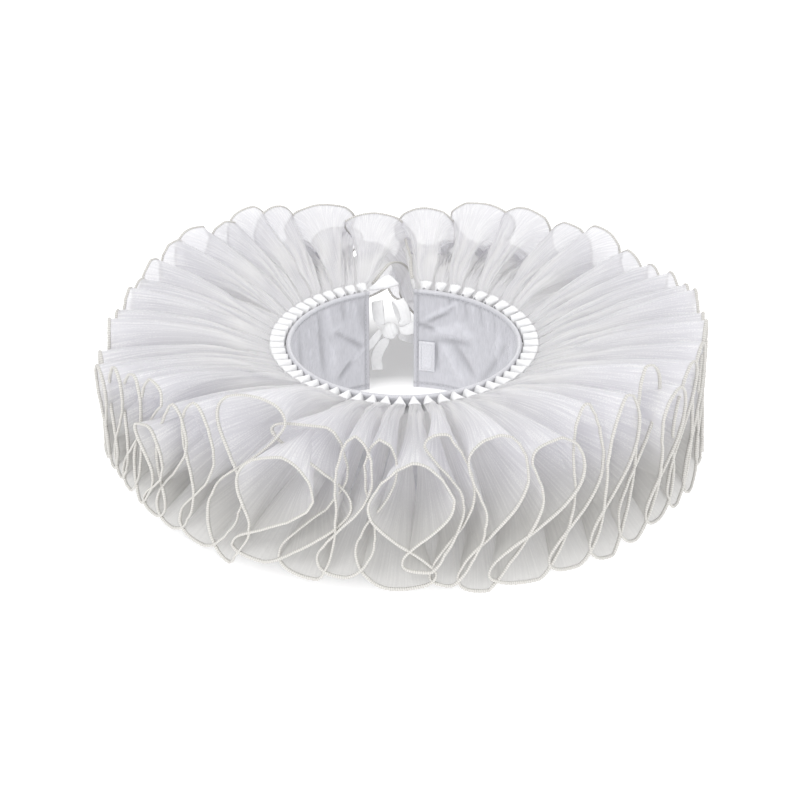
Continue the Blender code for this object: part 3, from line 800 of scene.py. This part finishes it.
class COLLAR_OT_neckband(bpy.types.Operator):
    """Builds the standing satin neckband with its folds and the stitching along its edges"""

    bl_idname = "ruff_collar.neckband"
    bl_label = "Neckband"

    def execute(self, context):
        satin = context.scene.ruff_satin
        turn = np.linspace(OPENING_LEFT, OPENING_RIGHT, BAND_COLUMNS + 1)
        share = np.linspace(0, 1, BAND_ROWS + 1)
        share = share + 0.35 * np.sin(2 * math.pi * share) / -(2 * math.pi)
        turn, height = np.meshgrid(turn, share * BAND_HEIGHT)
        inner = lining_radius(turn, height)
        outer = NECK_RADIUS + BAND_WALL - FOLDS_OUTSIDE * (NECK_RADIUS - inner)
        outer = np.clip(outer, NECK_RADIUS + BAND_WALL / 2, NECK_RADIUS + BAND_WALL)
        middle = (inner + outer) / 2
        low_edge = np.minimum(height, BAND_HEIGHT - height) / EDGE_ROUND
        side_edge = round_neck(from_opening(turn)) / EDGE_ROUND
        round_off = np.sqrt(1 - (1 - np.clip(np.minimum(low_edge, side_edge), LEAST_EDGE, 1)) ** 2)
        inner = middle + (inner - middle) * round_off
        outer = middle + (outer - middle) * round_off
        # Painted shade: the lining is darker in its fold troughs and along its stitched seams, and full
        # colour on its ridges
        troughs = np.clip(0.35 - fold_stand(turn, height) / (1.1 * MM), 0, 1)
        notes = {
            "cloth_mm": cloth_places(round_neck(turn) / MM, height / MM),
            "shade": troughs + self.seam_shade_line(turn, height),
        }
        mesh = wall_mesh("satin_neckband", around(turn, outer, height), around(turn, inner, height), notes)
        finish = satin_finish("lilac_lining_satin", satin.lining_colour, 0.28, 2.6, 0.35 * MM, 0.66)
        band = show(mesh, finish, ["neckband"])
        stitches = self.edge_stitches(thread_finish("band_thread", satin.sewing_colour, SEWING_THREAD_MM))
        return {"FINISHED"}

    def seam_shade_line(self, turn, height):
        """Painted shade where the lining is drawn in along its stitched edges."""
        line = 0 * turn
        ends = round_neck(from_opening(turn))
        for away in (BAND_HEIGHT - TOP_SEAM - height, height - FOOT_SEAM, ends - END_SEAM):
            line = np.maximum(line, bell(away, 0.7 * MM))
        return 0.8 * line

    def edge_stitches(self, thread):
        """Straight stitches round the lining, below the top edge and above the foot, and up both ends."""
        pitch = math.degrees(STITCH_PITCH / NECK_RADIUS)
        turns = np.arange(OPENING_LEFT + 1.5, OPENING_RIGHT - 1.5, pitch)
        heights = np.arange(5.5 * MM, BAND_HEIGHT - 4.5 * MM, STITCH_PITCH)
        level = around(turns + 90, np.ones_like(turns), 0 * turns)
        upright = np.tile((0.0, 0.0, 1.0), (len(heights), 1))
        made = []
        for name, turn, height, runs in (
            ("top_stitches", turns, BAND_HEIGHT - TOP_SEAM, level),
            ("foot_stitches", turns, FOOT_SEAM, level),
            ("end_stitches_left", OPENING_LEFT + END_SEAM_TURN, heights, upright),
            ("end_stitches_right", OPENING_RIGHT - END_SEAM_TURN, heights, upright),
        ):
            turn, height = np.broadcast_arrays(turn, height)
            centres = around(turn, lining_radius(turn, height) - STITCH_STAND, height)
            mesh = stitch_mesh(name, centres, runs, STITCH_LENGTH, STITCH_THICK)
            made.append(show(mesh, thread))
        return made


class COLLAR_OT_patch(bpy.types.Operator):
    """Builds the small stitched patch inside the band's right end"""

    bl_idname = "ruff_collar.patch"
    bl_label = "Sewn patch"

    def execute(self, context):
        first = OPENING_RIGHT - math.degrees((PATCH_FROM_EDGE + PATCH_WIDTH) / NECK_RADIUS)
        tall = PATCH_HIGH - PATCH_LOW
        across, up = np.meshgrid(np.linspace(0, 1, 37), np.linspace(0, 1, 61))
        turn = first + across * math.degrees(PATCH_WIDTH / NECK_RADIUS)
        height = PATCH_LOW + up * tall
        edge = np.minimum(np.minimum(across, 1 - across) * PATCH_WIDTH, np.minimum(up, 1 - up) * tall)
        crown = smooth_step(0.0, 1.0 * MM, edge)
        channel = bell(edge - PATCH_SEAM, 0.4 * MM)
        pile = 0.09 * MM * uneven(across * 9 + 3 * up, 31, 2.0) * uneven(up * 18, 32, 2.0) * (edge > 2 * MM)
        inner = NECK_RADIUS - SEAM - PATCH_WALL * (0.45 + 0.55 * crown) + 0.3 * MM * channel - pile
        outer = NECK_RADIUS - SEAM + 0 * across
        notes = {"cloth_mm": cloth_places(across * PATCH_WIDTH / MM, height / MM)}
        mesh = wall_mesh("patch_cloth", around(turn, outer, height), around(turn, inner, height), notes)
        finish = satin_finish("patch_satin", PATCH_COLOUR, 0.4, 0.7, 0.4 * MM)
        show(mesh, finish, ["sewn_patch"])
        self.stitches(first, (PATCH_WIDTH - 2 * PATCH_SEAM) / MM, (tall - 2 * PATCH_SEAM) / MM)
        return {"FINISHED"}

    def stitches(self, first, wide, tall):
        """Stitches round a rectangle of these millimetres, inside the cloth that starts at the turn first."""
        start, pitch = PATCH_STITCHES_MM
        places = [(place, up, 1, 0) for up in (0.0, tall) for place in np.arange(start, wide, pitch)]
        places += [(across, place, 0, 1) for across in (0.0, wide) for place in np.arange(start, tall, pitch)]
        across, up, level, upright = np.array(places).T
        turns = first + np.degrees((PATCH_SEAM + across * MM) / NECK_RADIUS)
        centres = around(turns, NECK_RADIUS - SEAM - 0.85 * PATCH_WALL, PATCH_LOW + PATCH_SEAM + up * MM)
        runs = around(turns + 90, level, 0 * turns) + np.stack([0 * turns, 0 * turns, upright], axis=-1)
        mesh = stitch_mesh("patch_stitches", centres, runs, 1.3 * MM, 0.35 * MM)
        thread = thread_finish("patch_thread", PATCH_THREAD_COLOUR, SEWING_THREAD_MM)
        show(mesh, thread)


# Heading and ruffle


class COLLAR_OT_heading(bpy.types.Operator):
    """Builds the white satin heading, pleated into small round-mouthed cones"""

    bl_idname = "ruff_collar.heading"
    bl_label = "Pleated heading"

    def execute(self, context):
        columns = np.arange(len(SETS) * HEADING_STEPS + 1) / HEADING_STEPS
        pleat, out = np.meshgrid(columns, np.linspace(0, 1, HEADING_ROWS))
        middle, _, _, normal = surface_frame(heading_surface, pleat, out)
        normal = square_to(unit(middle * (1, 1, 0)), normal)
        end = np.minimum(1 - out, np.minimum(pleat, len(SETS) - pleat) * 4)
        half = HEADING_WALL / 2 * np.sqrt(1 - (1 - np.clip(end / 0.06, 0.25, 1)) ** 2)[..., None]
        # Painted shade: the valleys between the pleats are darker near the band, fading towards the mouths
        valley = (1 - smooth_step(-0.6, 0.55, np.sin(2 * math.pi * pleat))) * (1 - 0.8 * out)
        pleat_mm, depth_mm = HEADING_CLOTH_MM
        notes = {"cloth_mm": cloth_places(pleat * pleat_mm, out * depth_mm), "shade": valley}
        mesh = wall_mesh("satin_heading", middle + normal * half, middle - normal * half, notes)
        colour = context.scene.ruff_satin.heading_colour
        finish = satin_finish("white_heading_satin", colour, 0.3, 3.0, 0.2 * MM, 0.42)
        heading = show(mesh, finish, ["pleated_heading"])
        self.end_fold(finish)
        return {"FINISHED"}

    def end_fold(self, finish):
        """The heading's left end, folded into a small triangle past the end of the band."""
        near, crest = (smooth_path(places, 24) for places in (END_FOLD_EDGE, END_FOLD_CREST))
        share = np.linspace(0, 1, 9)[:, None, None]
        middle = (near * (1 - share) + crest * share) * MM
        middle[..., 2] += 0.6 * MM * np.sin(math.pi * share[..., 0])
        half = np.array((0.1, -0.25, 0.3)) * MM
        notes = {"shade": 0 * middle[..., 0], "cloth_mm": middle / MM}
        mesh = wall_mesh("heading_end_fold", middle + half, middle - half, notes)
        show(mesh, finish)


class COLLAR_OT_ruffle(bpy.types.Operator):
    """Builds the organza ruffle and the thread that overlocks its edge"""

    bl_idname = "ruff_collar.ruffle"
    bl_label = "Organza ruffle"

    def execute(self, context):
        cloth = context.scene.ruff_cloth
        columns = np.linspace(STRIP_START, len(SETS), len(SETS) * RUFFLE_STEPS + 1)
        rows = np.linspace(0, 1, RUFFLE_ROWS + 1) ** ROW_SPREAD
        along, out = np.meshgrid(columns, rows)
        points = ruffle_cloth(along, out)
        run = run_along(points[-1])
        depth = np.append(0, np.cumsum(np.linalg.norm(np.diff(points, axis=0), axis=-1).mean(axis=-1)))
        front = smooth_step(125.0, 95.0, np.abs(neck_turn(along)))
        # The low front loops: their cloth is made denser, which is real cover, and their colour is darkened,
        # which is painted shade
        low = (1 - smooth_step(LOW_FROM, LOW_TO, points[..., 2])) * front
        dense = np.maximum((1 - smooth_step(0.05, 0.8, out)) * 0.92 + 0.08 * (1 - out), low)
        # Where light is painted: the gather valleys near the neck and the insides of the low loops, noted as
        # "deep"
        deep = np.clip(0.5 - gathers(along, out) / (1.2 * cloth.gather_depth), 0, 1)
        deep = deep * smooth_step(0.95, 0.3, out)
        topness = rim_curve(along)[3]
        deep = np.maximum(deep, (1 - topness) * smooth_step(0.95, 0.4, out))
        notes = {
            "density": dense,
            "low": low * smooth_step(0.4, 1.0, out),
            "deep": deep,
            "cloth_mm": cloth_places(run / MM, depth[:, None] / MM),
        }
        mesh = mesh_of("organza_ruffle", points, grid_faces(*out.shape), notes)
        ruffle = show(mesh, organza_finish(), ["ruffle"])
        hem = self.overlocked_hem(cloth)
        return {"FINISHED"}

    def overlocked_hem(self, cloth):
        """Thread wound over the rim and over the strip's two ends."""
        paths = []
        dense = np.linspace(STRIP_START, len(SETS), len(SETS) * 200 + 1)
        for along, out in (
            (dense, np.ones_like(dense)),
            (np.full(200, STRIP_START), np.linspace(0.04, 1, 200)),
            (np.full(200, float(len(SETS))), np.linspace(0.04, 1, 200)),
        ):
            run = run_along(ruffle_cloth(along, out))
            even = np.linspace(0, run[-1], int(run[-1] / HEM_STEP) + 2)
            paths.append((np.interp(even, run, along), np.interp(even, run, out), even))
        rings, faces, notes, count = [], [], [], 0
        step = 0.016
        for (along, out, run), (aside, back) in zip(paths, ((0, -step), (step, 0), (-step, 0))):
            centre = ruffle_cloth(along, out)
            tangent = unit(np.gradient(centre, axis=0))
            into = square_to(tangent, ruffle_cloth(along + aside, out + back) - centre)
            centre = centre + into * cloth.hem_width * 0.4
            centre[:, 2] = np.maximum(centre[:, 2], cloth.hem_width / 2)
            pulse = 1 + 0.10 * np.sin(2 * math.pi * run / HEM_PULSE)
            halves = (cloth.hem_width / 2 * pulse, cloth.hem_thickness / 2 * pulse)
            ring = tube_rings(centre, into, np.cross(tangent, into), *halves, HEM_SIDES)
            faces += tube_faces(len(run), HEM_SIDES, count)
            count += len(run) * HEM_SIDES
            rings.append(ring.reshape(-1, 3))
            notes.append(np.repeat(run / MM, HEM_SIDES))
        mesh = mesh_of("overlocked_hem", np.concatenate(rings), faces, {"thread_mm": np.concatenate(notes)})
        finish = thread_finish("hem_thread", cloth.thread_colour, HEM_THREAD_MM)
        return show(mesh, finish)


# Ribbons


def smooth_path(places, steps):
    """Points on a smooth curve through these places."""
    places = np.array(places, float)
    ends = np.concatenate([[2 * places[0] - places[1]], places, [2 * places[-1] - places[-2]]])
    share = np.linspace(0, len(places) - 1, steps + 1)
    first = np.minimum(share.astype(int), len(places) - 2)
    t = (share - first)[:, None]
    a, b, c, d = (ends[first + n] for n in range(4))
    return 0.5 * (2 * b + (c - a) * t + (2 * a - 5 * b + 4 * c - d) * t**2 + (3 * b - a - 3 * c + d) * t**3)


def tie_places():
    """Places along each ribbon, in millimetres from the knot's middle: to the right, back and up."""
    upright = (0, 0, 1)
    level = (1, 0, 0.2)
    slanted = (0.6, 0.3, 1)
    return {
        "bow_loop_left": (
            [
                *((-4.6, -1, 4), (-6, -1.5, 8), (-7, 0, 14), (-7, 2.5, 16.5)),
                *((-6.8, 5, 14), (-6, 5, 8), (-4.8, 3, 4)),
            ],
            [level] * 7,
        ),
        "bow_loop_right": (
            [
                *((6.0, -1, 4), (8.5, -1.5, 8), (7, 0, 14), (4.5, 2.5, 17)),
                *((4, 5, 14), (5.5, 5, 8), (6.4, 3, 4.5)),
            ],
            [level] * 7,
        ),
        "tie_tail_left": (
            [(-2, 1.2, -5.4), (-5, 2.5, -11), (-7.5, 3.5, -18), (-7, 3.5, -26)],
            [level] * 4,
        ),
        "tie_tail_right": (
            [(4.9, 1.5, -3), (8.5, 3.2, -5), (12, 5, -7), (16, 6.5, -10)],
            [upright, slanted, slanted, slanted],
        ),
    }


def ribbon_mesh(name, places, widths, pinch_start, pinch_end, cup):
    """A thin ribbon along a path, drawn in and cupped towards the ends that enter the knot."""
    path = smooth_path(places, RIBBON_STEPS)
    across = unit(smooth_path(widths, RIBBON_STEPS))
    tangent = unit(np.gradient(path, axis=0))
    across = square_to(tangent, across)
    normal = np.cross(tangent, across)
    share = np.linspace(0, 1, RIBBON_STEPS + 1)[:, None]
    side = np.linspace(-1, 1, RIBBON_ACROSS + 1)[None, :]
    near_start, near_end = (bell(away, 0.12) for away in (share, 1 - share))
    narrow = 1 - pinch_start * near_start - pinch_end * near_end
    ripple = 0.25 * MM * np.sin(2 * math.pi * 1.5 * side + 9 * share) * (1.15 - narrow)
    bend = cup * (side**2 - 0.4) * (1.3 - narrow) + ripple
    middle = path[:, None] + across[:, None] * (side * narrow * RIBBON_WIDTH / 2)[..., None]
    middle = middle + normal[:, None] * bend[..., None]
    half = RIBBON_CLOTH / 2 * (1 + 0.5 * smooth_step(0.8, 0.95, np.abs(side)))
    half = (half + 0 * share)[..., None] * normal[:, None]
    return wall_mesh(name, middle + half, middle - half, {"cloth_mm": cloth_places(side * 3.0, share * 40.0)})


def knot_mesh(name, middle):
    """The knot: a rounded core with creases that run round it, and the ribbon that wraps over it."""
    rings, sides, pole = 36, 48, 0.02
    lat = np.linspace(pole, math.pi - pole, rings)
    lat, lon = np.meshgrid(lat, np.arange(sides) * 2 * math.pi / sides, indexing="ij")
    ball = np.stack([np.sin(lat) * np.cos(lon), np.sin(lat) * np.sin(lon), np.cos(lat)], axis=-1)
    tilt = 0.45
    wrap = ball[..., 0] * math.cos(tilt) + ball[..., 2] * math.sin(tilt)
    edge = bell(np.abs(wrap) - 0.55, 0.12)
    crease = 1 + 0.05 * np.abs(np.sin(5.5 * wrap + 0.8)) - 0.10 * edge
    points = middle + ball * np.array(KNOT_SIZE) / 2 * crease[..., None] * 0.98
    index = np.arange(rings * sides).reshape(rings, sides)
    after = np.roll(index, -1, axis=1)
    quads = np.stack([index[:-1], index[1:], after[1:], after[:-1]], axis=-1).reshape(-1, 4)
    faces = [*quads, index[0], index[-1, ::-1]]
    return mesh_of(name, points, faces, {"cloth_mm": cloth_places(wrap * 5, lon * 3)})


class COLLAR_OT_ties(bpy.types.Operator):
    """Builds the two ribbon ties, the knot, the bow's loops and its tails"""

    bl_idname = "ruff_collar.ties"
    bl_label = "Ribbon ties and bow"

    def execute(self, context):
        colour = context.scene.ruff_satin.ribbon_colour
        finish = satin_finish("ribbon_satin", colour, 0.34, 2.2, 0.15 * MM)
        knot = around(KNOT_TURN, KNOT_RADIUS, KNOT_HEIGHT)
        show(knot_mesh("bow_knot", knot), finish, ["tie_knot"])
        for name, (places, widths) in tie_places().items():
            path = knot + np.array(places) * MM
            pinch_end = RIBBON_PINCH if name.startswith("bow") else 0.0
            mesh = ribbon_mesh("ribbon_" + name, path, widths, RIBBON_PINCH, pinch_end, 0.8 * MM)
            show(mesh, finish, [name])
        outer = NECK_RADIUS + BAND_WALL + SEAM + 0.5 * MM
        half = KNOT_SIZE[0] / 2 + SEAM + 0.5 * MM
        for name, turns, side, height in (
            ("tie_left", (-156.0, -158.5, -161.0), -1, 25.0 * MM),
            ("tie_right", (169.0, 171.5, 174.0), 1, 36.0 * MM),
        ):
            sewn = [around(turn, outer, height) for turn in turns]
            end = knot + np.array((side * half, 0, 0))
            middle = (sewn[-1] + end) / 2 + np.array((0, 0.5, -1.0)) * MM
            path = [*sewn, middle, end]
            mesh = ribbon_mesh("ribbon_" + name, path, [(0, 0, 1)] * 5, 0.0, RIBBON_PINCH, 0.6 * MM)
            show(mesh, finish, [name])
        return {"FINISHED"}


# Stage


class COLLAR_OT_stage(bpy.types.Operator):
    """Lays the pale floor, sets the soft light and places the photograph's camera"""

    bl_idname = "ruff_collar.stage"
    bl_label = "Floor, light and camera"

    def execute(self, context):
        stage = context.scene.ruff_stage
        scene = context.scene
        scene.view_settings.view_transform = "Standard"
        self.lay_floor(stage.floor_colour)
        scene.world = bpy.data.worlds.new("even_light")
        scene.world.use_nodes = True
        colour, strength = scene.world.node_tree.nodes["Background"].inputs[:2]
        colour.default_value = (1.0, 1.0, 1.0, 1.0)
        strength.default_value = stage.room_light
        for name, (place, side, share) in LAMPS.items():
            lamp = add_object(name, bpy.data.lights.new(name, "AREA"))
            lamp.data.energy = stage.key_light * share
            lamp.data.size = side
            self.aim(lamp, Vector(place), Vector(LAMP_TARGET) - Vector(place))
        self.place_camera(scene)
        return {"FINISHED"}

    def aim(self, made, place, direction):
        made.location = place
        made.rotation_mode = "QUATERNION"
        made.rotation_quaternion = direction.to_track_quat("-Z", "Y")

    def lay_floor(self, colour):
        mesh = bpy.data.meshes.new("floor")
        turn = np.arange(FLOOR_SIDES) * 2 * math.pi / FLOOR_SIDES
        points = [FLOOR_REACH * np.cos(turn), FLOOR_REACH * np.sin(turn), 0 * turn - FLOOR_DROP]
        mesh.from_pydata(np.stack(points, axis=-1).tolist(), [], [tuple(range(FLOOR_SIDES))])
        finish, tree = new_finish("pale_floor")
        place = node(tree, "NewGeometry", None, "Position")
        away = node(tree, "VectorMath", {0: place, 1: tuple(AXIS)}, "Value", operation="DISTANCE")
        # Painted light and shadow: the floor glows strongly beyond the rim and inside the neck and only
        # faintly under the ruffle
        strength = reckon(tree, *(between(tree, away, *glow) for glow in (NECK_GLOW, RIM_GLOW)))
        glow = node(tree, "Emission", {"Color": (1, 1, 1, 1), "Strength": strength})
        matt = node(tree, "BsdfDiffuse", {"Color": (*colour, 1.0)})
        node(tree, "OutputMaterial", {0: node(tree, "AddShader", {0: matt, 1: glow})})
        mesh.materials.append(finish)
        add_object("floor", mesh)

    def place_camera(self, scene):
        camera = add_object("photo_camera", bpy.data.cameras.new("photo_camera"))
        camera.data.lens = CAMERA_LENS
        camera.data.clip_end = 30.0
        tilt = math.radians(CAMERA_ELEVATION)
        forward = Vector((0.0, math.cos(tilt), -math.sin(tilt)))
        target = AXIS + Vector((-LOOK_LEFT, 0.0, LOOK_UP / math.cos(tilt)))
        self.aim(camera, target - forward * CAMERA_DISTANCE, forward)
        scene.camera = camera


class COLLAR_PT_panel(bpy.types.Panel):
    """Lists the collar's pieces in the order they are built"""

    bl_label = "Ruff Collar"
    bl_idname = "COLLAR_PT_panel"
    bl_space_type = "VIEW_3D"
    bl_region_type = "UI"
    bl_category = "Ruff Collar"

    def draw(self, context):
        for operator in OPERATORS:
            self.layout.operator(operator.bl_idname)
        for settings in (context.scene.ruff_cloth, context.scene.ruff_satin, context.scene.ruff_stage):
            box = self.layout.box()
            for key in settings.__annotations__:
                box.prop(settings, key)


OPERATORS = (
    COLLAR_OT_neckband,
    COLLAR_OT_patch,
    COLLAR_OT_heading,
    COLLAR_OT_ruffle,
    COLLAR_OT_ties,
    COLLAR_OT_stage,
)
SETTINGS = {"ruff_cloth": RuffClothSettings, "ruff_satin": RuffSatinSettings, "ruff_stage": RuffStageSettings}


def register():
    for made in (*SETTINGS.values(), *OPERATORS, COLLAR_PT_panel):
        bpy.utils.register_class(made)
    for key, group in SETTINGS.items():
        setattr(bpy.types.Scene, key, PointerProperty(type=group))


def unregister():
    for key in SETTINGS:
        delattr(bpy.types.Scene, key)
    for made in (COLLAR_PT_panel, *reversed(OPERATORS), *reversed(SETTINGS.values())):
        bpy.utils.unregister_class(made)


def main():
    register()
    bpy.ops.ruff_collar.neckband()
    bpy.ops.ruff_collar.patch()
    bpy.ops.ruff_collar.heading()
    bpy.ops.ruff_collar.ruffle()
    bpy.ops.ruff_collar.ties()
    bpy.ops.ruff_collar.stage()


if __name__ == "__main__":
    main()
